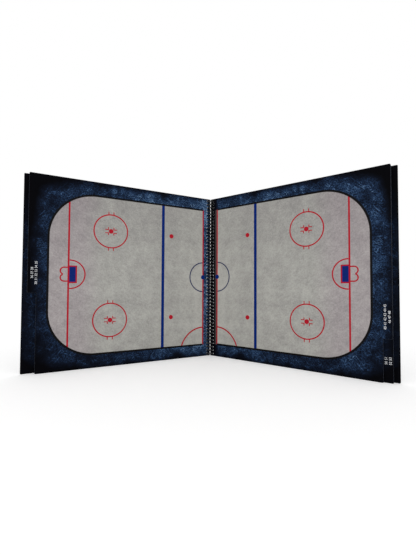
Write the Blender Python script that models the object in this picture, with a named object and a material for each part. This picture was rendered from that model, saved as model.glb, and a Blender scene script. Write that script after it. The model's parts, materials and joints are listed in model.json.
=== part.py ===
"""A coil-bound dry erase coaching book, standing open in a V on its lower edges.

Metres, +Z up. The coil is upright and the reader stands on the -Y side, with the left page at -X and the
right page at +X. Every sheet turns about the coil's own centre line. Its plane lies a little behind that
line, so that sheets of one stack lie side by side and pass each other without touching.
"""

import math

import bpy
import numpy as np
from mathutils import Vector

# Sheets
SHEET_HEIGHT = 0.292
COVER_WIDTH = 0.307
COVER_THICKNESS = 0.0008
LEAF_WIDTH = 0.2995
LEAF_THICKNESS = 0.0005
TAB_WIDTH = 0.0115
CORNER_RADIUS = 0.0015
CORNER_STEPS = 3
SHEET_GAP = 0.0003

# Binding
COIL_RADIUS = 0.0065
WIRE_DIAMETER = 0.0022
COIL_PITCH = 0.0062865
HOLE_CLEARANCE = 0.0011
HOLE_SIDES = 8
LEAST_END_MARGIN = 0.0045
SPINE_CLEARANCE = 0.0018

# How the wire climbs: nearly level where sheets turn, and the rest of its pitch across the back
POINTS_PER_TURN = 12
LEVEL_ARC = math.radians(300)
LEVEL_RISE = 0.0011
CRIMP_RADIUS = 0.0060

# The pose in which the book stands
OPEN_ANGLE = math.radians(113)
LEFT_FAN = math.radians(0.40)
RIGHT_LEAF_FAN = math.radians(0.62)
RIGHT_COVER_FAN = math.radians(1.12)

LEAF_COUNT = 5
LEFT_SIDE = -1
RIGHT_SIDE = 1

# Sheets in order from the open page outwards: name, fan angle behind the sheet in front, tab number
LEFT_STACK = (
    ("leaf_3", 0.0, 3),
    ("leaf_2", LEFT_FAN, 2),
    ("leaf_1", LEFT_FAN, 1),
    ("front_cover", LEFT_FAN, 0),
)
RIGHT_STACK = (
    ("leaf_4", 0.0, 4),
    ("leaf_5", RIGHT_LEAF_FAN, 5),
    ("back_cover", RIGHT_COVER_FAN, 0),
)

COVER_COLOUR = (0.010, 0.014, 0.030, 1.0)
LEAF_COLOUR = (0.36, 0.42, 0.50, 1.0)
COIL_COLOUR = (0.006, 0.006, 0.007, 1.0)


def clear_scene():
    """Remove whatever the file opened with."""
    for item in list(bpy.data.objects):
        bpy.data.objects.remove(item, do_unlink=True)


def make_collection(name):
    """A collection of this name, linked to the scene."""
    collection = bpy.data.collections.new(name)
    bpy.context.scene.collection.children.link(collection)
    return collection


def make_material(name, colour, roughness):
    """A plastic with its own colour and roughness."""
    material = bpy.data.materials.new(name)
    material.use_nodes = True
    shader = material.node_tree.nodes["Principled BSDF"]
    shader.inputs["Base Color"].default_value = colour
    shader.inputs["Roughness"].default_value = roughness
    shader.inputs["Metallic"].default_value = 0.0
    material.diffuse_color = colour
    return material


def hole_count():
    """How many holes of the coil's pitch fit between the least margins."""
    return math.floor((SHEET_HEIGHT - 2 * LEAST_END_MARGIN) / COIL_PITCH) + 1


def hole_heights():
    """Heights of the hole centres, the row centred on the sheet."""
    row = (hole_count() - 1) * COIL_PITCH
    first = (SHEET_HEIGHT - row) / 2
    return [first + i * COIL_PITCH for i in range(hole_count())]


def rounded_outline(corners):
    """Points of a closed outline whose corners, given as (x, y, radius), are cut by arcs."""
    points = []
    for i, (x, y, radius) in enumerate(corners):
        corner = Vector((x, y))
        if radius == 0:
            points.append(corner)
            continue
        before = (Vector(corners[i - 1][:2]) - corner).normalized()
        after = (Vector(corners[(i + 1) % len(corners)][:2]) - corner).normalized()
        centre = corner + (before + after) * radius
        for step in range(CORNER_STEPS + 1):
            turn = math.pi / 2 * step / CORNER_STEPS
            points.append(centre - after * radius * math.cos(turn) - before * radius * math.sin(turn))
    return points


def sheet_corners(inner, width, tab):
    """Corners of a sheet from its lower inner one round to its upper inner one.

    A tab leaves the edge cut back below it. Tab 0 is a cover, and the last tab reaches the foot.
    """
    outer = inner + width
    foot = SHEET_HEIGHT * (1 - tab / LEAF_COUNT)
    lower = [(inner, 0, 0), (outer, 0, CORNER_RADIUS)]
    if 0 < tab < LEAF_COUNT:
        cut_back = outer - TAB_WIDTH
        lower = [(inner, 0, 0), (cut_back, 0, CORNER_RADIUS), (cut_back, foot, 0), (outer, foot, CORNER_RADIUS)]
    return lower + [(outer, SHEET_HEIGHT, CORNER_RADIUS), (inner, SHEET_HEIGHT, 0)]


def add_spline(curve, points):
    """A closed straight-sided loop."""
    spline = curve.splines.new("POLY")
    spline.points.add(len(points) - 1)
    for target, (x, y) in zip(spline.points, points):
        target.co = (x, y, 0, 1)
    spline.use_cyclic_u = True


def hole_points(x, y):
    """A hole with flats above and below, as wide across them as the wire and its clearance."""
    flat = WIRE_DIAMETER / 2 + HOLE_CLEARANCE
    radius = flat / math.cos(math.pi / HOLE_SIDES)
    start = (HOLE_SIDES % 4 == 0) * math.pi / HOLE_SIDES
    turns = [start + 2 * math.pi * i / HOLE_SIDES for i in range(HOLE_SIDES)]
    return [(x + radius * math.cos(turn), y + radius * math.sin(turn)) for turn in turns]


def make_empty(name, collection, parent, turn):
    """An empty on the coil's centre line, turned about it."""
    empty = bpy.data.objects.new(name, None)
    empty.empty_display_size = COIL_RADIUS
    empty.rotation_euler = (0, 0, turn)
    empty.parent = parent
    collection.objects.link(empty)
    return empty


def make_sheet(name, collection, parent, side, angle, depth, tab, material):
    """One punched sheet: angle is from the reader's direction, depth is how far it lies behind the axis."""
    is_cover = tab == 0
    width = COVER_WIDTH if is_cover else LEAF_WIDTH
    thickness = COVER_THICKNESS if is_cover else LEAF_THICKNESS
    hole_reach = math.sqrt(COIL_RADIUS ** 2 - depth ** 2)
    inner = hole_reach - (COIL_RADIUS - SPINE_CLEARANCE)

    curve = bpy.data.curves.new(name, "CURVE")
    curve.dimensions = "2D"
    curve.fill_mode = "BOTH"
    curve.extrude = thickness / 2
    add_spline(curve, rounded_outline(sheet_corners(inner, width, tab)))
    for height in hole_heights():
        add_spline(curve, hole_points(hole_reach, height))
    curve.materials.append(material)

    # A left page points to the left of the reader, so its far side is the empty's -Y
    turn = angle - math.pi / 2 if side == RIGHT_SIDE else -angle - math.pi / 2
    axis = make_empty(name + "_axis", collection, parent, turn)
    sheet = bpy.data.objects.new(name, curve)
    sheet.location = (0, side * depth, 0)
    sheet.rotation_euler = (math.pi / 2, 0, 0)
    sheet.parent = axis
    collection.objects.link(sheet)
    return sheet


def make_stack(stack, side, collection, parent, materials):
    """The sheets on one side, each laid behind the one in front with a gap between their faces."""
    angle = OPEN_ANGLE / 2
    face = SHEET_GAP / 2
    for name, fan, tab in stack:
        thickness = LEAF_THICKNESS if tab else COVER_THICKNESS
        material = materials["leaf"] if tab else materials["cover"]
        angle += fan
        make_sheet(name, collection, parent, side, angle, face + thickness / 2, tab, material)
        face += thickness + SHEET_GAP


def coil_height(turns):
    """How far the wire has climbed after this many turns from the reader's side of a loop."""
    whole = round(turns)
    part = turns - whole
    level = LEVEL_ARC / (2 * math.pi)
    if abs(part) <= level / 2:
        return whole * COIL_PITCH + LEVEL_RISE * part / level
    beyond = abs(part) - level / 2
    climb = (COIL_PITCH - LEVEL_RISE) * beyond / (1 - level)
    return whole * COIL_PITCH + math.copysign(LEVEL_RISE / 2 + climb, part)


def coil_points():
    """Centre line of the wire: one loop a hole, from the back of the first to the back of the last."""
    # A straight stretch between points runs inside the circle, so the points stand a little outside
    stretch = math.cos(math.pi / POINTS_PER_TURN)
    radius = COIL_RADIUS * 2 / (1 + stretch)
    first = hole_heights()[0]
    steps = hole_count() * POINTS_PER_TURN
    points = []
    for step in range(steps + 1):
        turns = step / POINTS_PER_TURN - 0.5
        reach = CRIMP_RADIUS if step in (0, steps) else radius
        angle = 2 * math.pi * turns
        points.append(Vector((reach * math.sin(angle), -reach * math.cos(angle), first + coil_height(turns))))
    return points


def least_gap(points):
    """Least clear distance between one turn of the wire and the rest of it."""
    samples = []
    for a, b in zip(points[:-1], points[1:]):
        samples += [a.lerp(b, part) for part in (0, 0.25, 0.5, 0.75)]
    path = np.array(samples)
    apart = 4 * POINTS_PER_TURN // 2
    window = 4 * POINTS_PER_TURN * 2
    least = math.inf
    for i in range(len(path) - apart):
        distances = np.linalg.norm(path[i + apart:i + window] - path[i], axis=1)
        least = min(least, distances.min())
    return least - WIRE_DIAMETER


def make_coil(collection, parent, material):
    """One unbroken tube threaded through every hole."""
    points = coil_points()
    curve = bpy.data.curves.new("binding_coil", "CURVE")
    curve.dimensions = "3D"
    curve.bevel_depth = WIRE_DIAMETER / 2
    curve.bevel_resolution = 1
    curve.use_fill_caps = True
    spline = curve.splines.new("POLY")
    spline.points.add(len(points) - 1)
    for target, point in zip(spline.points, points):
        target.co = (*point, 1)
    curve.materials.append(material)
    coil = bpy.data.objects.new("binding_coil", curve)
    coil.parent = parent
    collection.objects.link(coil)
    print(f"binding_coil: {hole_count()} loops, least gap to itself {least_gap(points) * 1000:.2f} mm")
    return coil


def surface_points(collection):
    """Corners of every solid's mesh, in world space."""
    bpy.context.view_layer.update()
    graph = bpy.context.evaluated_depsgraph_get()
    points = []
    for item in collection.objects:
        if item.type == "EMPTY":
            continue
        shown = item.evaluated_get(graph)
        points += [item.matrix_world @ vertex.co for vertex in shown.to_mesh().vertices]
        shown.to_mesh_clear()
    return points


def stand_on_origin(collection, root):
    """Move the book so that the middle of its footprint is the origin."""
    points = surface_points(collection)
    low = [min(point[i] for point in points) for i in range(2)]
    high = [max(point[i] for point in points) for i in range(2)]
    root.location = (-(low[0] + high[0]) / 2, -(low[1] + high[1]) / 2, 0)
    bpy.context.view_layer.update()
    print(f"coil axis at x {root.location.x:.6f}, y {root.location.y:.6f}")


def main():
    """Build the book."""
    clear_scene()
    book = make_collection("coaching_book")
    root = make_empty("coil_axis", book, None, 0)
    materials = {
        "cover": make_material("cover_board", COVER_COLOUR, 0.35),
        "leaf": make_material("laminated_leaf", LEAF_COLOUR, 0.18),
    }
    make_stack(LEFT_STACK, LEFT_SIDE, book, root, materials)
    make_stack(RIGHT_STACK, RIGHT_SIDE, book, root, materials)
    make_coil(book, root, make_material("coil_plastic", COIL_COLOUR, 0.4))
    stand_on_origin(book, root)


main()
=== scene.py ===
import json
import math

import bmesh
import bpy
import numpy as np
from mathutils import Matrix, Vector
from mathutils.geometry import delaunay_2d_cdt


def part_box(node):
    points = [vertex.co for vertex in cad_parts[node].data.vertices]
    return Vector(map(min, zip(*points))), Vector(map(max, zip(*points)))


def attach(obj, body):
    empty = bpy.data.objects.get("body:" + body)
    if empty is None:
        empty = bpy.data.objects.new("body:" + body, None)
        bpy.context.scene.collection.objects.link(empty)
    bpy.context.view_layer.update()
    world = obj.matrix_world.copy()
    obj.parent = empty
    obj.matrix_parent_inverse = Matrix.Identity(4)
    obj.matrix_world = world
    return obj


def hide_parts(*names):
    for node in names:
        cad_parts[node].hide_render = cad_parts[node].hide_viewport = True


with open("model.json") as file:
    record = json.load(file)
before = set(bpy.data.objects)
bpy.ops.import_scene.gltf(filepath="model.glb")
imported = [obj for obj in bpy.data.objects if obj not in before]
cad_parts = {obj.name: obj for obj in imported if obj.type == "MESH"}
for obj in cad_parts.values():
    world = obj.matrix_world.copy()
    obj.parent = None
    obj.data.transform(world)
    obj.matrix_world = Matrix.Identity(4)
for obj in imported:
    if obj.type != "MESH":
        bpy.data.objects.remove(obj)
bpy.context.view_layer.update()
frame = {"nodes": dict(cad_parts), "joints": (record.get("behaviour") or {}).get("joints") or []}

# The finish of a coil-bound coaching book: printed laminated leaves, board covers and a plastic coil.
#
# Every sheet is built in its own frame: x runs from the coil's centre line to the fore-edge, y is through
# the thickness, with the recto facing -y and the verso facing +y, and z is up. Reach is a distance along
# x and height is one along z. Lengths are in metres.

AXIS = Vector(frame["joints"][0]["pos_m"])
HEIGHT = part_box("back_cover")[1].z
UP = Vector((0, 0, 1))

LEAF_COUNT = 5
LEAVES = [f"leaf_{number}" for number in range(1, LEAF_COUNT + 1)]
RECTO = -1
VERSO = 1

# Binding. The wire is nearly level for most of a turn and climbs the rest of its pitch across the back.
COIL_RADIUS = 0.0065
WIRE_RADIUS = 0.0011
WIRE_SMOOTHNESS = 3
COIL_PITCH = 0.0062865
HOLE_COUNT = 46
FIRST_HOLE = (HEIGHT - (HOLE_COUNT - 1) * COIL_PITCH) / 2
LEAF_HOLE_RADIUS = 0.0016
COVER_HOLE_RADIUS = 0.0020
LEVEL_SHARE = 300 / 360
LEVEL_RISE = 0.0011
COIL_POINTS_PER_TURN = 40
CRIMP_RADIUS = 0.0060
CRIMP_TURN = 1 / 12
CRIMP_POWER = 1.5

# Sheets
LEAF_REACH = 0.3013
COVER_REACH = 0.3083
TAB_WIDTH = 0.0115
CORNER_RADIUS = 0.0015
CORNER_STEPS = 6
HOLE_STEPS = 20
# Inside the coil the two open pages nearly meet
OPEN_PAGES = ("leaf_3", "leaf_4")
OPEN_PAGE_INNER = 0.0003
# The bevel of a sheet's rim, the least angle of an edge that gets it, and how squarely a face looks out
RIM_BEVEL = 0.00012
RIM_ANGLE = math.radians(60)
FACE_NORMAL = 0.999
# A sheet's finishes, by their places on its mesh
RECTO_FINISH, VERSO_FINISH, EDGE_FINISH = range(3)
# The triangulation's kind of result that leaves holes open, and how near two points are taken as one
FILL_BUT_HOLES = 2
SAME_POINT = 1e-7

# Layers of print: how far the first stands off the sheet, the step to the next, and how deep each one is
INK_LIFT = 0.00003
INK_STEP = 0.00002
INK_DEPTH = 0.00006
# How far each face's print lies from its true place on the sheet, outwards and upwards
PRINT_SHIFT = {RECTO: (0.0007, 0.0005), VERSO: (-0.0007, -0.0005)}

# Line widths
BOARD_LINE = 0.0030
GOAL_LINE = 0.0025
CENTRE_LINE = 0.0024
BLUE_LINE = 0.0052
THIN_LINE = 0.0019
FINE_LINE = 0.0014
# The most that a corner's mitre may widen a line is one over this
LEAST_MITRE = 0.5
ROUND_STEPS = 72

# The rink
ICE_FOOT = 0.0217
ICE_TOP = 0.2703
MID_HEIGHT = 0.1454
BOARD_REACH = 0.2757
BOARD_CORNER = 0.0684
CENTRE_LINE_REACH = 0.0158
CENTRE_RADIUS = 0.0266
CENTRE_SPOT = 0.0040
BLUE_REACH = 0.0954
NEUTRAL_REACH = 0.0799
NEUTRAL_RADIUS = 0.0038
REFEREE_RADIUS = 0.0448
REFEREE_DROP = 0.0132

# Its face-off circles, with the hash marks outside them and the L marks round their spots
CIRCLE_REACH = 0.1847
CIRCLE_HEIGHT = 0.1449
CIRCLE_SPREAD = 0.0711
CIRCLE_RADIUS = 0.0266
SPOT_RADIUS = 0.0037
HASH_GAP = 0.0040
HASH_LENGTH = 0.0050
L_MARK_OUT = 0.0042
L_MARK_UP = 0.0027
L_LEG_OUT = 0.0050
L_LEG_UP = 0.0036

# Its goal. The angles where the arcs of its crease and its net end are in degrees.
GOAL_REACH = 0.2475
CREASE_RADIUS = 0.0216
CREASE_CENTRE = 0.0022
CREASE_ARC = (88, 272)
CREASE_BOX_DEPTH = 0.0112
CREASE_BOX_WIDTH = 0.0249
NET_DEPTH = 0.0060
NET_LOBE = 0.0053
NET_HALF = 0.0105
LOBE_END = 62

# Numbers on the tabs, with how many stand in the inner row and in the outer one. Edges shorter than a
# sliver are dissolved.
NUMBER_SIZE = 0.0046
NUMBER_SMOOTHNESS = 5
SLIVER = 0.000005
ROW_STEP = 0.0052
NUMBER_ROWS = (6, 3)
LAST_NUMBER_ROWS = (2, 2)
# How far inwards from the middle of its tab each face's block of numbers lies
NUMBER_INSET = {RECTO: 0.0004, VERSO: 0.0028}

# Colours are red, green and blue in 0 to 255 as seen on screen. A ramp's have their places before them.
BORDER_COLOURS = (
    (0.0, (6, 6, 9)),
    (0.18, (15, 21, 34)),
    (0.42, (33, 51, 78)),
    (0.70, (60, 88, 124)),
    (1.0, (112, 140, 170)),
)
ICE_COLOURS = (
    (0.24, (122, 118, 118)),
    (0.38, (142, 140, 137)),
    (0.50, (159, 158, 153)),
    (0.62, (177, 176, 170)),
)
DULL_ICE = (128, 116, 112)
BOARD_COLOURS = ((0.0, (11, 12, 16)), (1.0, (52, 56, 66)))
BOARD_EDGE_COLOURS = ((0.0, (11, 12, 15)), (1.0, (40, 43, 50)))
LEAF_EDGE_COLOURS = ((0.3, (34, 38, 48)), (0.7, (62, 68, 80)))
COIL_COLOURS = ((0.3, (10, 10, 11)), (0.75, (24, 24, 27)))

# Inks, each with its colour and a darker shade of it
INKS = (
    ("black_ink", (8, 8, 10), (4, 4, 6)),
    ("red_ink", (176, 24, 43), (154, 18, 34)),
    ("blue_ink", (2, 36, 110), (0, 28, 96)),
    ("navy_ink", (24, 36, 86), (16, 26, 66)),
)
WHITE_INK = ("white_ink", (225, 226, 228), (208, 210, 214))

# Roughness of the film where it is untouched and where it is wiped
PRINT_FILM = (0.34, 0.46)
BORDER_FILM = (0.36, 0.5)

# Where the border darkens: the print's fade to the edges, then bands of reach or height, with how bright
# it is at the dark end of the last two. The last band, beside the holes, is painted shade of the coil.
EDGE_POWER = 6.0
EDGE_FADE = (0.55, 1.15)
OUTER_BAND = (0.10, 0.27)
FOOT_BAND = (0.0, 0.2)
FOOT_LIGHT = 0.8
# Painted shade of the coil over the margin beside the holes
COIL_SHADE_BAND = (0.0030, 0.0085)
COIL_SHADE_LEVEL = 0.3
# The dark beside the coil, and where dull ice comes up out of it
SPINE_FADE_START = 0.0085
SPINE_FADE_END = 0.0200

# The border's scratches: the turn and shift of each pattern of strokes, how finely these repeat along
# their three axes, and how bright the clouds and the strokes are
SCRATCHES = ((0.35, 0.1), (1.15, 0.3), (-0.75, 0.7), (2.3, 1.1), (-0.15, 1.9))
SCRATCH_STRETCH = (75, 75, 760)
CLOUD_LIGHT = 0.62
STROKE_LIGHT = 0.46

# The same for the scuffs on the covers, and how far in from its edges a cover is worn
SCUFFS = ((0.5, 0.3), (-0.9, 1.4), (1.9, 2.2))
SCUFF_STRETCH = (14, 14, 620)
RIM_WEAR = 0.0035

# The mottles of the clean ice, the bands of painted shade where it is darker, and painted light by the
# centre line
SOFT_SHARE = 0.35
FINE_SHARE = 0.25
GRAIN_SHARE = 0.40
TOP_SHADE_BAND = (0.14, 0.27)
TOP_PAINTED_SHADE = (0.0, 0.08)
END_SHADE_BAND = (0.16, 0.27)
END_PAINTED_SHADE = (0.0, 0.03)
CENTRE_LIGHT_BAND = (0.01, 0.08)
CENTRE_PAINTED_LIGHT = (-0.08, 0.0)
# It is a little pinker towards its rounded end
OUTER_ICE_BAND = (0.19, 0.235)
OUTER_ICE_CAST = (0.985, 0.915, 0.980, 1.0)

# Stage and light
FLOOR_HALF = 30.0
FLOOR_DROP = 0.0002
FLOOR_COLOUR = (0.9, 0.9, 0.9, 1)
FLOOR_ROUGHNESS = 0.9
FLOOR_ADDED = 0.3
WORLD_COLOUR = (1, 1, 1, 1)
WORLD_STRENGTH = 0.78
LAMP_SIZE = 1.2
LAMP_TARGET = (0, 0, 0.15)
KEY_PLACE = (-0.9, -1.9, 0.3)
KEY_POWER = 13
FILL_PLACE = (1.3, -1.6, 0.25)
FILL_POWER = 8

# The photograph's view, with the place given from the foot of the coil's centre line
CAMERA_PLACE = (0.04215, -0.61767, 0.12463)
CAMERA_YAW = math.radians(4.306)
CAMERA_PITCH = math.radians(1.861)
CAMERA_ROLL = math.radians(0.251)
CAMERA_LENS = 21.409
CAMERA_SENSOR = 36
CAMERA_NEAREST = 0.01


def srgb(red, green, blue):
    """A colour given in 0 to 255 as seen on screen, as a linear one."""
    values = []
    for part in (red / 255, green / 255, blue / 255):
        values.append(part / 12.92 if part <= 0.04045 else ((part + 0.055) / 1.055) ** 2.4)
    return (*values, 1.0)


# Materials

class Shader:
    """A material's nodes, with a short call for each kind used here."""

    def __init__(self, name, specular):
        self.material = bpy.data.materials.new(name)
        self.material.use_nodes = True
        self.tree = self.material.node_tree
        self.surface = self.tree.nodes["Principled BSDF"]
        self.surface.inputs["Specular IOR Level"].default_value = specular
        self.place = self.add("TexCoord").outputs["Object"]

    def add(self, kind):
        """A new node."""
        return self.tree.nodes.new("ShaderNode" + kind)

    def put(self, socket, value):
        """A socket takes another socket or a plain value."""
        if isinstance(value, bpy.types.NodeSocket):
            self.tree.links.new(value, socket)
        else:
            socket.default_value = value

    def reach_and_height(self):
        """Where a point is on its sheet."""
        split = self.add("SeparateXYZ")
        self.put(split.inputs[0], self.place)
        return split.outputs["X"], split.outputs["Z"]

    def math(self, operation, first, second=0.0, clamp=False):
        """One of Blender's operations on two values."""
        node = self.add("Math")
        node.operation = operation
        node.use_clamp = clamp
        self.put(node.inputs[0], first)
        self.put(node.inputs[1], second)
        return node.outputs[0]

    def chain(self, operation, values):
        """One operation over several values in turn."""
        result = values[0]
        for value in values[1:]:
            result = self.math(operation, result, value)
        return result

    def plus(self, *values):
        """The sum of the values."""
        return self.chain("ADD", values)

    def times(self, *values):
        """The product of the values."""
        return self.chain("MULTIPLY", values)

    def most(self, *values):
        """The highest of the values."""
        return self.chain("MAXIMUM", values)

    def spread(self, value, band, result=(0.0, 1.0)):
        """A value eased from one band to another and held at its ends."""
        node = self.add("MapRange")
        node.interpolation_type = "SMOOTHSTEP"
        self.put(node.inputs["Value"], value)
        node.inputs["From Min"].default_value = band[0]
        node.inputs["From Max"].default_value = band[1]
        node.inputs["To Min"].default_value = result[0]
        node.inputs["To Max"].default_value = result[1]
        return node.outputs[0]

    def noise(self, scale, detail=3.0, roughness=0.5, place=None):
        """Noise over the piece's own coordinates, or over others."""
        node = self.add("TexNoise")
        self.put(node.inputs["Vector"], place or self.place)
        node.inputs["Scale"].default_value = scale
        node.inputs["Detail"].default_value = detail
        node.inputs["Roughness"].default_value = roughness
        return node.outputs["Fac"]

    def stretched_noise(self, stretch, turn=0.0, shift=0.0, detail=3.0, roughness=0.6):
        """Noise that is turned in the sheet's plane and stretched along its axes."""
        turned = self.add("Mapping")
        turned.inputs["Rotation"].default_value = (0, turn, 0)
        turned.inputs["Location"].default_value = (shift, 0, shift)
        self.put(turned.inputs["Vector"], self.place)
        scaled = self.add("Mapping")
        scaled.inputs["Scale"].default_value = stretch
        self.put(scaled.inputs["Vector"], turned.outputs[0])
        return self.noise(1.0, detail, roughness, place=scaled.outputs[0])

    def pebbles(self, scale):
        """Distance from the middle of each pebble in a leather-like grain."""
        node = self.add("TexVoronoi")
        self.put(node.inputs["Vector"], self.place)
        node.inputs["Scale"].default_value = scale
        return node.outputs["Distance"]

    def ramp(self, value, stops):
        """A colour ramp from (position, colour as seen on screen) stops."""
        node = self.add("ValToRGB")
        elements = node.color_ramp.elements
        while len(elements) < len(stops):
            elements.new(0.5)
        for element, (position, colour) in zip(elements, stops):
            element.position = position
            element.color = srgb(*colour)
        self.put(node.inputs[0], value)
        return node.outputs[0]

    def mixed(self, share, first, second, blend="MIX"):
        """The first colour turned into the second, or blended with it, by a share of 0 to 1."""
        node = self.add("Mix")
        node.data_type = "RGBA"
        node.blend_type = blend
        self.put(node.inputs["Factor"], share)
        self.put(node.inputs["A"], first)
        self.put(node.inputs["B"], second)
        return node.outputs["Result"]

    def colour(self, value):
        """Give the surface its colour."""
        self.put(self.surface.inputs["Base Color"], value)

    def roughness(self, value):
        """Give the surface its roughness."""
        self.put(self.surface.inputs["Roughness"], value)

    def bump(self, height, distance, strength):
        """Give the surface its relief."""
        node = self.add("Bump")
        node.inputs["Strength"].default_value = strength
        node.inputs["Distance"].default_value = distance
        self.put(node.inputs["Height"], height)
        self.put(self.surface.inputs["Normal"], node.outputs[0])


def film_finish(shader, roughness):
    """Laminate film: faint waves in the surface, and wiped patches that gloss a little less."""
    wiped = shader.stretched_noise(stretch=(9, 9, 40), turn=0.5)
    shader.roughness(shader.spread(wiped, (0.3, 0.75), roughness))
    waves = shader.noise(scale=900.0, detail=2.0)
    shader.bump(waves, distance=0.00002, strength=0.25)


def edge_light(shader, reach, height, fade_start, fore_weight):
    """1 over most of a sheet, easing unevenly towards 0 at its top, foot and fore-edge."""
    across = shader.math("DIVIDE", shader.math("SUBTRACT", reach, fade_start), LEAF_REACH - fade_start)
    across = shader.math("POWER", shader.most(across, 0.0), EDGE_POWER)
    along = shader.math("DIVIDE", shader.math("SUBTRACT", height, HEIGHT / 2), HEIGHT / 2)
    along = shader.math("POWER", shader.math("ABSOLUTE", along), EDGE_POWER)
    drift = shader.math("SUBTRACT", shader.noise(scale=24.0), 0.5)
    nearness = shader.plus(shader.times(across, fore_weight), along, drift)
    return shader.spread(nearness, EDGE_FADE, (1.0, 0.0))


def scratches(shader):
    """How bright scratched ice is: clouds full of fine grain, with thin strokes across them in patches."""
    clouds = shader.noise(scale=34.0, detail=4.0, roughness=0.6)
    clouds = shader.spread(clouds, (0.32, 0.70), (0.42, 1.0))
    grain = shader.noise(scale=560.0, detail=4.0, roughness=0.8)
    grain = shader.spread(grain, (0.38, 0.66), (0.24, 1.0))
    strokes = []
    for turn, shift in SCRATCHES:
        lines = shader.stretched_noise(SCRATCH_STRETCH, turn, shift, detail=2.0)
        strokes.append(shader.spread(lines, (0.58, 0.70)))
    patches = shader.stretched_noise(stretch=(70, 70, 70), turn=0.9, shift=2.0, detail=2.0, roughness=0.5)
    patches = shader.spread(patches, (0.34, 0.62), (0.15, 1.0))
    glow = shader.times(clouds, grain, CLOUD_LIGHT)
    return shader.plus(glow, shader.times(shader.most(*strokes), patches, STROKE_LIGHT))


def fade_to_ice(shader, colour, reach, height, most):
    """Dull ice that comes up out of the dark between the holes and the centre line."""
    share = shader.times(
        shader.spread(reach, (SPINE_FADE_START, CENTRE_LINE_REACH), (0.0, most)),
        shader.math("LESS_THAN", reach, SPINE_FADE_END),
        shader.math("GREATER_THAN", height, ICE_FOOT),
        shader.math("LESS_THAN", height, ICE_TOP),
    )
    return shader.mixed(share, colour, srgb(*DULL_ICE))


def scratched_ice(
    name, fade_start, fore_weight, spine_band, spine_light, outer_light, gain, spine_ice=0.0
):
    """A print of dark blue scratched ice that fades to black at the sheet's edges and corners.

    The fade to the fore-edge starts at the reach fade_start and weighs fore_weight against the fades to
    the top and foot. The print is spine_light times as bright where spine_band starts, outer_light times
    as bright at the end of the rink, and gain times as bright all over. Beside the coil it turns by up to
    spine_ice into dull ice. Beside the holes painted shade of the coil darkens it.
    """
    shader = Shader(name, specular=0.01)
    reach, height = shader.reach_and_height()
    light = shader.times(
        edge_light(shader, reach, height, fade_start, fore_weight),
        shader.spread(reach, spine_band, (spine_light, 1.0)),
        shader.spread(reach, OUTER_BAND, (1.0, outer_light)),
        shader.spread(height, FOOT_BAND, (FOOT_LIGHT, 1.0)),
        # Painted shade of the coil darkens the print beside the holes
        shader.spread(reach, COIL_SHADE_BAND, (COIL_SHADE_LEVEL, 1.0)),
    )
    glow = shader.math("MULTIPLY", shader.times(scratches(shader), light), gain, clamp=True)
    colour = shader.ramp(glow, BORDER_COLOURS)
    if spine_ice > 0:
        colour = fade_to_ice(shader, colour, reach, height, spine_ice)
    shader.colour(colour)
    film_finish(shader, BORDER_FILM)
    return shader.material


def clean_ice():
    """Pale grey ice with soft mottles and bands of painted shade and light, under the film."""
    shader = Shader("ice_print", specular=0.12)
    reach, height = shader.reach_and_height()
    soft = shader.noise(scale=45.0, detail=4.0, roughness=0.6)
    fine = shader.stretched_noise(stretch=(160, 160, 260), turn=0.6, shift=0.4, detail=4.0)
    grain = shader.noise(scale=480.0, roughness=0.75)
    mottle = shader.plus(
        shader.times(soft, SOFT_SHARE),
        shader.times(fine, FINE_SHARE),
        shader.times(grain, GRAIN_SHARE),
    )
    # Painted shade darkens the ice towards its top and its end, and painted light brightens it by the
    # centre line
    painted_light_and_shade = shader.plus(
        shader.spread(height, TOP_SHADE_BAND, TOP_PAINTED_SHADE),
        shader.spread(reach, END_SHADE_BAND, END_PAINTED_SHADE),
        shader.spread(reach, CENTRE_LIGHT_BAND, CENTRE_PAINTED_LIGHT),
    )
    colour = shader.ramp(shader.math("SUBTRACT", mottle, painted_light_and_shade), ICE_COLOURS)
    outward = shader.spread(reach, OUTER_ICE_BAND)
    shader.colour(shader.mixed(outward, colour, OUTER_ICE_CAST, "MULTIPLY"))
    film_finish(shader, PRINT_FILM)
    return shader.material


def ink(name, colour, shade):
    """A printed colour with the slight unevenness of ink, under the film."""
    shader = Shader(name, specular=0.05)
    uneven = shader.noise(scale=600.0, roughness=0.6)
    shader.colour(shader.ramp(uneven, ((0.3, shade), (0.7, colour))))
    film_finish(shader, PRINT_FILM)
    return shader.material


def film_edge():
    """The cut edge of a laminated leaf: dark printed card between clear films."""
    shader = Shader("leaf_edge", specular=0.25)
    fibres = shader.stretched_noise(stretch=(500, 4000, 500))
    shader.colour(shader.ramp(fibres, LEAF_EDGE_COLOURS))
    shader.roughness(shader.spread(fibres, (0.3, 0.7), (0.3, 0.5)))
    return shader.material


def rim_share(shader):
    """1 at a cover's top, foot and fore-edge, easing to 0 where its edge wear ends."""
    reach, height = shader.reach_and_height()
    return shader.most(
        shader.spread(reach, (COVER_REACH - RIM_WEAR, COVER_REACH)),
        shader.spread(height, (0.0, RIM_WEAR), (1.0, 0.0)),
        shader.spread(height, (HEIGHT - RIM_WEAR, HEIGHT)),
    )


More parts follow.
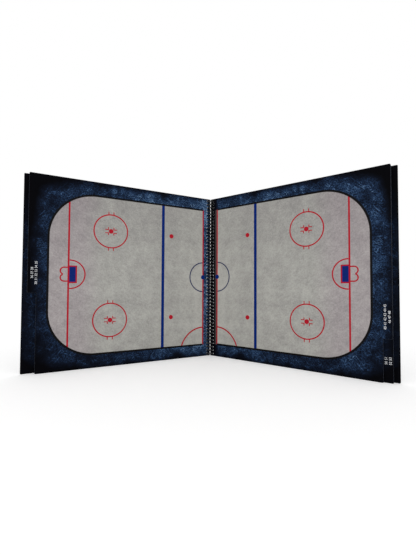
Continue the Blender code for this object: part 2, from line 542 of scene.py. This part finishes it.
def cover_board(name, colours):
    """Black board with a pebbled grain, paler in rubbed patches, in thin scuffs and along its edges."""
    shader = Shader(name, specular=0.12)
    grain = shader.plus(shader.pebbles(scale=750.0), shader.noise(scale=1500.0, roughness=0.6))
    patches = shader.stretched_noise(stretch=(12, 12, 30), turn=0.4, shift=0.8, detail=4.0, roughness=0.65)
    rubbed = shader.spread(patches, (0.35, 0.8), (0.0, 0.5))
    for turn, shift in SCUFFS:
        lines = shader.stretched_noise(SCUFF_STRETCH, turn, shift)
        rubbed = shader.most(rubbed, shader.spread(lines, (0.64, 0.78), (0.0, 0.8)))
    uneven = shader.noise(scale=110.0, detail=4.0, roughness=0.7)
    uneven = shader.spread(uneven, (0.35, 0.7))
    rubbed = shader.most(rubbed, shader.times(uneven, rim_share(shader)))
    speckle = shader.spread(grain, (0.7, 1.2), (-0.06, 0.10))
    shader.colour(shader.ramp(shader.plus(rubbed, speckle), colours))
    shader.roughness(shader.spread(rubbed, (0.0, 0.8), (0.42, 0.62)))
    shader.bump(grain, distance=0.00006, strength=0.5)
    return shader.material


def coil_plastic():
    """Black plastic filament, drawn smooth, with fine marks round it."""
    shader = Shader("black_coil", specular=0.4)
    marks = shader.stretched_noise(stretch=(700, 700, 2500), detail=2.0)
    shader.colour(shader.ramp(marks, COIL_COLOURS))
    shader.roughness(shader.spread(marks, (0.3, 0.7), (0.22, 0.38)))
    shader.bump(marks, distance=0.00003, strength=0.3)
    return shader.material


# Sheets

class Sheet:
    """Where a CAD sheet lies: its direction from the coil, its depth, reach and thickness.

    Its number is its tab's, and 0 for a cover.
    """

    def __init__(self, name):
        self.name = name
        points = np.array([vertex.co for vertex in frame["nodes"][name].data.vertices])
        flat = points[:, :2] - np.array(AXIS[:2])
        # The level direction in which its corners spread most, taken away from the coil
        middle = flat.mean(0)
        along = np.linalg.svd(flat - middle, full_matrices=False)[2][0]
        along = along * math.copysign(1.0, float(along @ middle))
        self.out = Vector((along[0], along[1], 0)).normalized()
        self.through = UP.cross(self.out)
        reach = flat @ np.array(self.out[:2])
        depth = flat @ np.array(self.through[:2])
        self.inner = OPEN_PAGE_INNER if name in OPEN_PAGES else float(reach.min())
        self.outer = float(reach.max())
        self.thickness = float(depth.max() - depth.min())
        self.depth = float(depth.max() + depth.min()) / 2
        self.number = LEAVES.index(name) + 1 if name in LEAVES else 0

    def matrix(self):
        """From the sheet's own frame to the row frame."""
        foot = Vector((AXIS.x, AXIS.y, 0)) + self.through * self.depth
        turn = Matrix((self.out, self.through, UP)).transposed()
        return Matrix.Translation(foot) @ turn.to_4x4()

    def outline(self):
        """Corners with their radii, from the lower inner one round; leaves are cut back below their tab."""
        foot = HEIGHT * (1 - self.number / LEAF_COUNT)
        corners = [(self.inner, 0, 0), (self.outer, 0, CORNER_RADIUS)]
        if 0 < self.number < LEAF_COUNT:
            cut_back = self.outer - TAB_WIDTH
            corners = [(self.inner, 0, 0), (cut_back, 0, CORNER_RADIUS), (cut_back, foot, 0)]
            corners.append((self.outer, foot, CORNER_RADIUS))
        return corners + [(self.outer, HEIGHT, CORNER_RADIUS), (self.inner, HEIGHT, 0)]


def rounded(corners):
    """Points of an outline of (x, z, radius) corners, with an arc at each radius."""
    points = []
    for i, (x, z, radius) in enumerate(corners):
        corner = Vector((x, z))
        if radius == 0:
            points.append(corner)
            continue
        before = (Vector(corners[i - 1][:2]) - corner).normalized()
        after = (Vector(corners[(i + 1) % len(corners)][:2]) - corner).normalized()
        centre = corner + (before + after) * radius
        for step in range(CORNER_STEPS + 1):
            turn = math.pi / 2 * step / CORNER_STEPS
            points.append(centre - after * radius * math.cos(turn) - before * radius * math.sin(turn))
    return points


def arc(x, z, radius, start, end, steps):
    """Points along an arc, with its ends given in degrees."""
    turns = [math.radians(start + (end - start) * i / steps) for i in range(steps + 1)]
    return [Vector((x + radius * math.cos(turn), z + radius * math.sin(turn))) for turn in turns]


def link(obj, body, slot, *replaced):
    """Put a piece on its body and hide the nodes it stands for. The slot is not used."""
    bpy.context.scene.collection.objects.link(obj)
    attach(obj, body)
    if replaced:
        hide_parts(*replaced)


def shown_mesh(obj):
    """A new mesh of an object as it is shown, with its modifiers or its curves worked out."""
    bpy.context.view_layer.update()
    graph = bpy.context.evaluated_depsgraph_get()
    return bpy.data.meshes.new_from_object(obj.evaluated_get(graph))


def sheet_loops(sheet):
    """The sheet's outline and then its row of round holes, as closed loops of points."""
    hole_reach = math.sqrt(COIL_RADIUS ** 2 - sheet.depth ** 2)
    radius = LEAF_HOLE_RADIUS if sheet.number else COVER_HOLE_RADIUS
    loops = [rounded(sheet.outline())]
    for i in range(HOLE_COUNT):
        hole = arc(hole_reach, FIRST_HOLE + i * COIL_PITCH, radius, 0, 360, HOLE_STEPS)
        loops.append(hole[:-1])
    return loops


def plate(loops, thickness):
    """A flat plate that fills the first loop and leaves the others open as holes."""
    points = []
    rings = []
    for loop in loops:
        rings.append(range(len(points), len(points) + len(loop)))
        points += loop
    corners, _, triangles, _, _, _ = delaunay_2d_cdt(points, [], rings, FILL_BUT_HOLES, SAME_POINT)
    body = bmesh.new()
    recto = [body.verts.new((corner.x, RECTO * thickness / 2, corner.y)) for corner in corners]
    for triangle in triangles:
        body.faces.new([recto[i] for i in triangle])
    copied = bmesh.ops.extrude_face_region(body, geom=body.faces[:])["geom"]
    verso = [item for item in copied if isinstance(item, bmesh.types.BMVert)]
    bmesh.ops.translate(body, vec=(0, thickness, 0), verts=verso)
    bmesh.ops.recalc_face_normals(body, faces=body.faces)
    return body


def soften_rim(body):
    """Bevel the edges of a plate's outline and holes."""
    rim = [side for side in body.edges if len(side.link_faces) == 2 and side.calc_face_angle() > RIM_ANGLE]
    bmesh.ops.bevel(body, geom=rim, offset=RIM_BEVEL, segments=2, profile=0.5, affect="EDGES")


def make_sheet(sheet, recto, verso, edge, slot):
    """A punched sheet with softened edges and its own finish on each face and round its edge."""
    body = plate(sheet_loops(sheet), sheet.thickness)
    soften_rim(body)
    for face in body.faces:
        face.material_index = EDGE_FINISH
        if abs(face.normal.y) > FACE_NORMAL:
            face.material_index = RECTO_FINISH if face.normal.y < 0 else VERSO_FINISH
    mesh = bpy.data.meshes.new(sheet.name + "_sheet")
    for material in (recto, verso, edge):
        mesh.materials.append(material)
    body.to_mesh(mesh)
    body.free()
    obj = bpy.data.objects.new(sheet.name + "_sheet", mesh)
    obj.matrix_world = sheet.matrix()
    link(obj, sheet.name, slot, sheet.name)


# Rink print, with its materials' places on a printed piece

ICE, BLACK, RED, BLUE, NAVY = range(5)


class Print:
    """Flat shapes in ink on one face, laid in layers so that those that cross don't share a plane."""

    def __init__(self):
        self.mesh = bmesh.new()
        self.layer = 0

    def next_layer(self):
        """Go on above what is drawn."""
        self.layer += 1

    def corners(self, points):
        """Vertices on the present layer."""
        return [self.mesh.verts.new((point[0], self.layer * INK_STEP, point[1])) for point in points]

    def polygon(self, points, material):
        """A filled shape."""
        self.mesh.faces.new(self.corners(points)).material_index = material

    def line(self, points, width, material, closed=False):
        """A line of even width along points."""
        count = len(points)
        left = []
        right = []
        for i, point in enumerate(points):
            before = points[i - 1] if closed or i > 0 else point
            after = points[(i + 1) % count] if closed or i < count - 1 else point
            first = (point - before).normalized() if before != point else (after - point).normalized()
            second = (after - point).normalized() if after != point else first
            direction = (first + second).normalized()
            side = Vector((-direction.y, direction.x)) / max(direction.dot(first), LEAST_MITRE)
            left.append(point + side * width / 2)
            right.append(point - side * width / 2)
        left = self.corners(left)
        right = self.corners(right)
        for i in range(count if closed else count - 1):
            j = (i + 1) % count
            self.mesh.faces.new((left[i], right[i], right[j], left[j])).material_index = material

    def disc(self, x, z, radius, material):
        """A filled circle."""
        self.polygon(arc(x, z, radius, 0, 360, ROUND_STEPS // 2)[:-1], material)

    def ring(self, x, z, radius, width, material):
        """A line round a circle."""
        self.line(arc(x, z, radius, 0, 360, ROUND_STEPS)[:-1], width, material, closed=True)


def upright(reach, *heights):
    """Points above each other at one reach."""
    return [Vector((reach, height)) for height in heights]


def board_path(centre_reach):
    """The boards from the centre line's top round the end of the rink to its foot."""
    corner = BOARD_REACH - BOARD_CORNER
    steps = ROUND_STEPS // 3
    top = arc(corner, ICE_TOP - BOARD_CORNER, BOARD_CORNER, 90, 0, steps)
    foot = arc(corner, ICE_FOOT + BOARD_CORNER, BOARD_CORNER, 0, -90, steps)
    return upright(centre_reach, ICE_TOP) + top + foot + upright(centre_reach, ICE_FOOT)


def board_height(reach):
    """How far the boards are above or below the middle at this reach, where they are round."""
    along = reach - (BOARD_REACH - BOARD_CORNER)
    return (ICE_TOP - ICE_FOOT) / 2 - BOARD_CORNER + math.sqrt(BOARD_CORNER ** 2 - along ** 2)


def draw_centre(art, centre_reach):
    """The blue line, half the middle circle and the referee's crease."""
    art.line(upright(BLUE_REACH, ICE_TOP, ICE_FOOT), BLUE_LINE, BLUE)
    steps = ROUND_STEPS // 2
    art.line(arc(centre_reach, MID_HEIGHT, CENTRE_RADIUS, 90, -90, steps), THIN_LINE, NAVY)
    referee = Vector((centre_reach, ICE_FOOT - REFEREE_DROP))
    end = math.degrees(math.asin(REFEREE_DROP / REFEREE_RADIUS))
    art.line(arc(*referee, REFEREE_RADIUS, 90, end, steps), CENTRE_LINE, RED)


def draw_circles(art):
    """The two face-off circles with their spots, and the two spots beyond the blue line."""
    for up in (-1, 1):
        art.ring(CIRCLE_REACH, CIRCLE_HEIGHT + up * CIRCLE_SPREAD, CIRCLE_RADIUS, THIN_LINE, RED)
        art.disc(CIRCLE_REACH, CIRCLE_HEIGHT + up * CIRCLE_SPREAD, SPOT_RADIUS, RED)
        art.disc(NEUTRAL_REACH, MID_HEIGHT + up * CIRCLE_SPREAD, NEUTRAL_RADIUS, RED)


def draw_marks(art, z):
    """A face-off circle's hash marks and the four L marks round its spot."""
    for up in (-1, 1):
        for out in (-1, 1):
            x = CIRCLE_REACH + out * HASH_GAP
            start = z + up * math.sqrt(CIRCLE_RADIUS ** 2 - HASH_GAP ** 2)
            art.line(upright(x, start, start + up * HASH_LENGTH), FINE_LINE, RED)
            x = CIRCLE_REACH + out * L_MARK_OUT
            corner = z + up * L_MARK_UP
            tip = Vector((x + out * L_LEG_OUT, corner))
            art.line([tip] + upright(x, corner, corner + up * L_LEG_UP), FINE_LINE, RED)


def draw_goal(art):
    """The crease, its blue box with a red border, and the net behind the goal line."""
    half = CREASE_BOX_WIDTH / 2
    front = GOAL_REACH - CREASE_BOX_DEPTH
    box = upright(GOAL_REACH, MID_HEIGHT - half) + upright(front, MID_HEIGHT - half)
    box += upright(front, MID_HEIGHT + half) + upright(GOAL_REACH, MID_HEIGHT + half)
    art.polygon(box[::-1], BLUE)
    art.next_layer()
    art.line(box, THIN_LINE, RED)
    crease = arc(GOAL_REACH - CREASE_CENTRE, MID_HEIGHT, CREASE_RADIUS, *CREASE_ARC, ROUND_STEPS // 2)
    art.line(crease, THIN_LINE, RED)
    lobe = GOAL_REACH + NET_DEPTH
    steps = ROUND_STEPS // 4
    upper = arc(lobe, MID_HEIGHT + NET_HALF - NET_LOBE, NET_LOBE, 90, -LOBE_END, steps)
    lower = arc(lobe, MID_HEIGHT - NET_HALF + NET_LOBE, NET_LOBE, LOBE_END, -90, steps)
    posts = upright(GOAL_REACH, MID_HEIGHT + NET_HALF, MID_HEIGHT - NET_HALF)
    art.line([posts[0]] + upper + lower + [posts[1]], THIN_LINE, RED)


def draw_rink(face):
    """Half of an ice rink: the ice, its boards, lines, circles, crease and net."""
    art = Print()
    shift_out, shift_up = PRINT_SHIFT[face]
    centre_reach = CENTRE_LINE_REACH - shift_out
    boards = board_path(centre_reach)
    art.polygon(boards, ICE)
    art.next_layer()
    draw_centre(art, centre_reach)
    draw_circles(art)
    draw_goal(art)
    for up in (-1, 1):
        draw_marks(art, CIRCLE_HEIGHT + up * CIRCLE_SPREAD)
    art.next_layer()
    rise = board_height(GOAL_REACH)
    middle = (ICE_TOP + ICE_FOOT) / 2
    art.line(upright(GOAL_REACH, middle + rise, middle - rise), GOAL_LINE, RED)
    art.line(upright(centre_reach, ICE_TOP, ICE_FOOT), CENTRE_LINE, RED)
    art.next_layer()
    art.disc(centre_reach, MID_HEIGHT, CENTRE_SPOT, BLUE)
    art.line(boards, BOARD_LINE, BLACK)
    bmesh.ops.translate(art.mesh, vec=(shift_out, 0, shift_up), verts=art.mesh.verts)
    return art.mesh


def lay_print(sheet, face, shapes, part, materials):
    """Turn flat shapes into thin solids on one face of a sheet."""
    lift = sheet.thickness / 2 + INK_LIFT
    for vertex in shapes.verts:
        vertex.co.y = face * (lift + vertex.co.y)
    for surface in shapes.faces:
        surface.normal_update()
        if surface.normal.y * face < 0:
            surface.normal_flip()
    name = f"{sheet.name}_{'recto' if face == RECTO else 'verso'}_{part}"
    mesh = bpy.data.meshes.new(name)
    shapes.to_mesh(mesh)
    shapes.free()
    for material in materials:
        mesh.materials.append(material)
    obj = bpy.data.objects.new(name, mesh)
    obj.matrix_world = sheet.matrix()
    link(obj, sheet.name, "laminated_leaf")
    solid = obj.modifiers.new("film", "SOLIDIFY")
    solid.thickness = INK_DEPTH
    # The depth goes inwards from the face that is drawn
    solid.offset = -1
    deep = shown_mesh(obj)
    obj.modifiers.clear()
    obj.data = deep


def text_mesh(words):
    """A mesh of a line of text, centred on the origin."""
    text = bpy.data.curves.new("numbers", "FONT")
    text.body = words
    text.size = NUMBER_SIZE
    text.resolution_u = NUMBER_SMOOTHNESS
    text.align_x = "CENTER"
    text.align_y = "CENTER"
    maker = bpy.data.objects.new("numbers", text)
    bpy.context.scene.collection.objects.link(maker)
    mesh = shown_mesh(maker)
    bpy.data.objects.remove(maker)
    bpy.data.curves.remove(text)
    return mesh


def number_shapes(sheet, face):
    """Two rows of plain numbers on the leaf's tab, turned to run along its fore-edge."""
    tab_x = sheet.outer - TAB_WIDTH / 2 - NUMBER_INSET[face]
    tab_z = HEIGHT * (1 - (sheet.number - 0.5) / LEAF_COUNT)
    shapes = bmesh.new()
    first = 0
    for row, count in enumerate(LAST_NUMBER_ROWS if sheet.number == LEAF_COUNT else NUMBER_ROWS):
        mesh = text_mesh(" ".join(f"{sheet.number}{first + i}" for i in range(count)))
        first += count
        row_x = tab_x + (row - 0.5) * ROW_STEP
        for vertex in mesh.vertices:
            along, rise, _ = vertex.co
            vertex.co = (row_x + face * rise, 0, tab_z + along)
        shapes.from_mesh(mesh)
        bpy.data.meshes.remove(mesh)
    bmesh.ops.dissolve_degenerate(shapes, dist=SLIVER, edges=shapes.edges)
    return shapes


# Coil

def coil_height(turns):
    """How far the wire has climbed after this many turns from the reader's side of a loop."""
    whole = round(turns)
    part = turns - whole
    if abs(part) <= LEVEL_SHARE / 2:
        return whole * COIL_PITCH + LEVEL_RISE * part / LEVEL_SHARE
    beyond = abs(part) - LEVEL_SHARE / 2
    climb = (COIL_PITCH - LEVEL_RISE) * beyond / (1 - LEVEL_SHARE)
    return whole * COIL_PITCH + math.copysign(LEVEL_RISE / 2 + climb, part)


def make_coil(material):
    """The filament: a fine round tube through every hole, its ends crimped inwards at the back."""
    steps = HOLE_COUNT * COIL_POINTS_PER_TURN
    curve = bpy.data.curves.new("coil_filament", "CURVE")
    curve.dimensions = "3D"
    curve.bevel_depth = WIRE_RADIUS
    curve.bevel_resolution = WIRE_SMOOTHNESS
    curve.use_fill_caps = True
    spline = curve.splines.new("POLY")
    spline.points.add(steps)
    for step, point in enumerate(spline.points):
        turns = step / COIL_POINTS_PER_TURN - 0.5
        from_end = min(step, steps - step) / COIL_POINTS_PER_TURN
        reach = COIL_RADIUS
        if from_end < CRIMP_TURN:
            reach -= (COIL_RADIUS - CRIMP_RADIUS) * (1 - from_end / CRIMP_TURN) ** CRIMP_POWER
        angle = 2 * math.pi * turns
        point.co = (reach * math.sin(angle), -reach * math.cos(angle), FIRST_HOLE + coil_height(turns), 1)
    curve.materials.append(material)
    obj = bpy.data.objects.new("coil_filament", curve)
    obj.location = (AXIS.x, AXIS.y, 0)
    link(obj, "binding", "coil_plastic", "binding_coil")


# Stage, light and camera

def seen_share(tree):
    """1 for what the camera sees directly, in a gloss or through something clear, and 0 for other light."""
    path = tree.nodes.new("ShaderNodeLightPath")
    share = path.outputs["Is Camera Ray"]
    for name in ("Is Glossy Ray", "Is Transmission Ray"):
        most = tree.nodes.new("ShaderNodeMath")
        most.operation = "MAXIMUM"
        tree.links.new(share, most.inputs[0])
        tree.links.new(path.outputs[name], most.inputs[1])
        share = most.outputs[0]
    return share


def backdrop_material():
    """Matt white that takes shadows, with a little added where it is seen so that it reads as white."""
    material = bpy.data.materials.new("white_floor")
    material.use_nodes = True
    nodes = material.node_tree.nodes
    links = material.node_tree.links
    shader = nodes["Principled BSDF"]
    shader.inputs["Base Color"].default_value = FLOOR_COLOUR
    shader.inputs["Roughness"].default_value = FLOOR_ROUGHNESS
    shader.inputs["Specular IOR Level"].default_value = 0.0
    added = nodes.new("ShaderNodeEmission")
    share = nodes.new("ShaderNodeMath")
    share.operation = "MULTIPLY"
    share.inputs[1].default_value = FLOOR_ADDED
    links.new(seen_share(material.node_tree), share.inputs[0])
    links.new(share.outputs[0], added.inputs["Strength"])
    both = nodes.new("ShaderNodeAddShader")
    links.new(shader.outputs[0], both.inputs[0])
    links.new(added.outputs[0], both.inputs[1])
    links.new(both.outputs[0], nodes["Material Output"].inputs["Surface"])
    return material


def make_floor():
    """A wide plain floor under the book."""
    mesh = bpy.data.meshes.new("floor")
    plane = bmesh.new()
    bmesh.ops.create_grid(plane, x_segments=1, y_segments=1, size=FLOOR_HALF)
    plane.to_mesh(mesh)
    plane.free()
    mesh.materials.append(backdrop_material())
    floor = bpy.data.objects.new("floor", mesh)
    floor.location = (0, 0, -FLOOR_DROP)
    bpy.context.scene.collection.objects.link(floor)


def make_world():
    """Even pale light from all round, seen as white."""
    world = bpy.data.worlds.new("studio")
    bpy.context.scene.world = world
    world.use_nodes = True
    nodes = world.node_tree.nodes
    links = world.node_tree.links
    even = nodes["Background"]
    even.inputs["Strength"].default_value = WORLD_STRENGTH
    white = nodes.new("ShaderNodeBackground")
    white.inputs["Strength"].default_value = 1.0
    mix = nodes.new("ShaderNodeMixShader")
    for background in (even, white):
        background.inputs["Color"].default_value = WORLD_COLOUR
    links.new(seen_share(world.node_tree), mix.inputs[0])
    links.new(even.outputs[0], mix.inputs[1])
    links.new(white.outputs[0], mix.inputs[2])
    links.new(mix.outputs[0], nodes["World Output"].inputs["Surface"])


def make_lamp(name, place, power):
    """A large soft lamp aimed at the book."""
    light = bpy.data.lights.new(name, "AREA")
    light.shape = "DISK"
    light.size = LAMP_SIZE
    light.energy = power
    lamp = bpy.data.objects.new(name, light)
    lamp.location = place
    aim = Vector(LAMP_TARGET) - Vector(place)
    lamp.rotation_euler = aim.to_track_quat("-Z", "Y").to_euler()
    bpy.context.scene.collection.objects.link(lamp)


def make_camera():
    """The camera, upright but for its pitch and roll, and turned from the +Y direction by its yaw."""
    camera = bpy.data.cameras.new("camera")
    camera.lens = CAMERA_LENS
    camera.sensor_width = CAMERA_SENSOR
    camera.clip_start = CAMERA_NEAREST
    obj = bpy.data.objects.new("camera", camera)
    place = Matrix.Translation(Vector((AXIS.x, AXIS.y, 0)) + Vector(CAMERA_PLACE))
    turn = Matrix.Rotation(CAMERA_YAW, 4, "Z")
    tilt = Matrix.Rotation(math.pi / 2 + CAMERA_PITCH, 4, "X")
    obj.matrix_world = place @ turn @ tilt @ Matrix.Rotation(CAMERA_ROLL, 4, "Z")
    bpy.context.scene.collection.objects.link(obj)
    bpy.context.scene.camera = obj


def make_leaves(recto, verso):
    """The five laminated leaves, each printed on both faces and numbered on its tab."""
    edge = film_edge()
    inks = [clean_ice()] + [ink(*colours) for colours in INKS]
    white = ink(*WHITE_INK)
    for name in LEAVES:
        sheet = Sheet(name)
        make_sheet(sheet, recto, verso, edge, "laminated_leaf")
        for face in (RECTO, VERSO):
            lay_print(sheet, face, draw_rink(face), "rink", inks)
            lay_print(sheet, face, number_shapes(sheet, face), "number", [white])


def make_covers(lining):
    """The two board covers, plain outside and lined with dark print inside."""
    board = cover_board("cover_outside", BOARD_COLOURS)
    edge = cover_board("cover_edge", BOARD_EDGE_COLOURS)
    make_sheet(Sheet("front_cover"), board, lining, edge, "cover_board")
    make_sheet(Sheet("back_cover"), lining, board, edge, "cover_board")


def main():
    """Dress the frame."""
    verso = scratched_ice(
        "verso_border", fade_start=0.105, fore_weight=1.2, spine_band=(0.0, 0.10), spine_light=1.35,
        outer_light=0.60, gain=1.5,
    )
    recto = scratched_ice(
        "recto_border", fade_start=0.120, fore_weight=0.95, spine_band=(0.010, 0.022), spine_light=0.05,
        outer_light=0.83, gain=1.4, spine_ice=0.42,
    )
    lining = scratched_ice(
        "cover_lining", fade_start=0.150, fore_weight=0.72, spine_band=(0.0, 0.06), spine_light=0.2,
        outer_light=0.8, gain=1.0,
    )
    make_leaves(recto, verso)
    make_covers(lining)
    make_coil(coil_plastic())
    make_floor()
    make_world()
    make_lamp("key", KEY_PLACE, KEY_POWER)
    make_lamp("fill", FILL_PLACE, FILL_POWER)
    make_camera()
    bpy.context.scene.view_settings.view_transform = "Standard"


main()
bpy.context.view_layer.update()
